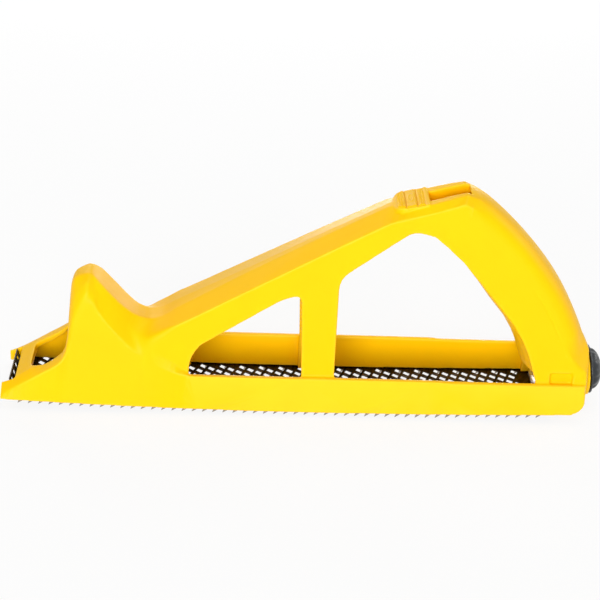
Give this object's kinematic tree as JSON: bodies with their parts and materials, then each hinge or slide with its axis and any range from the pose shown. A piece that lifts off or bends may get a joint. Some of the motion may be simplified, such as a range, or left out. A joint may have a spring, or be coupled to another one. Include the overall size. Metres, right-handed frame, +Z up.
{
  "type": "rasp plane",
  "caption": "Hand rasp plane: open moulded body with a front horn and an arched handle, a perforated toothed blade under the sole, and a rear knob that tightens the blade.",
  "frame": {"origin": "centre of the tool's footprint, on the plane that the lowest blade teeth touch", "axes": "X along the tool from the nose (-X) to the heel and knob (+X), Y across it, Z up from the sole to the handle"},
  "size_m": [0.2856, 0.044, 0.1106],
  "materials": {
    "yellow_moulding": "satin-gloss moulded plastic",
    "blade_steel": "dark browned spring steel, bright at the cutting edges",
    "plated_steel": "bright zinc plating",
    "black_moulding": "satin black plastic",
    "brass_insert": "plain brass"
  },
  "bodies": {
    "body": {"body": "yellow_moulding"},
    "blade": {"blade": "blade_steel"},
    "puller": {"tension_hook": "plated_steel", "tension_screw": "plated_steel"},
    "knob": {"knob": "black_moulding", "knob_nut": "brass_insert"}
  },
  "joints": [
    {"name": "knob_turn", "type": "hinge", "parent": "body", "child": "knob", "pos_m": [0.13568, 0, 0.0177], "axis": [0.9966, 0, 0.0828], "range_deg": [0, 1440]},
    {"name": "puller_slide", "type": "slide", "parent": "body", "child": "puller", "axis": [-0.9966, 0, -0.0828], "range_m": [0, 0.005]},
    {"name": "blade_swing", "type": "hinge", "parent": "body", "child": "blade", "pos_m": [-0.137, 0, 0.0052], "axis": [0, 1, 0], "range_deg": [0, 12]}
  ],
  "couplings": [
    {"joint": "knob_turn", "follows": "puller_slide", "rad_per_m": 5026.5}
  ]
}
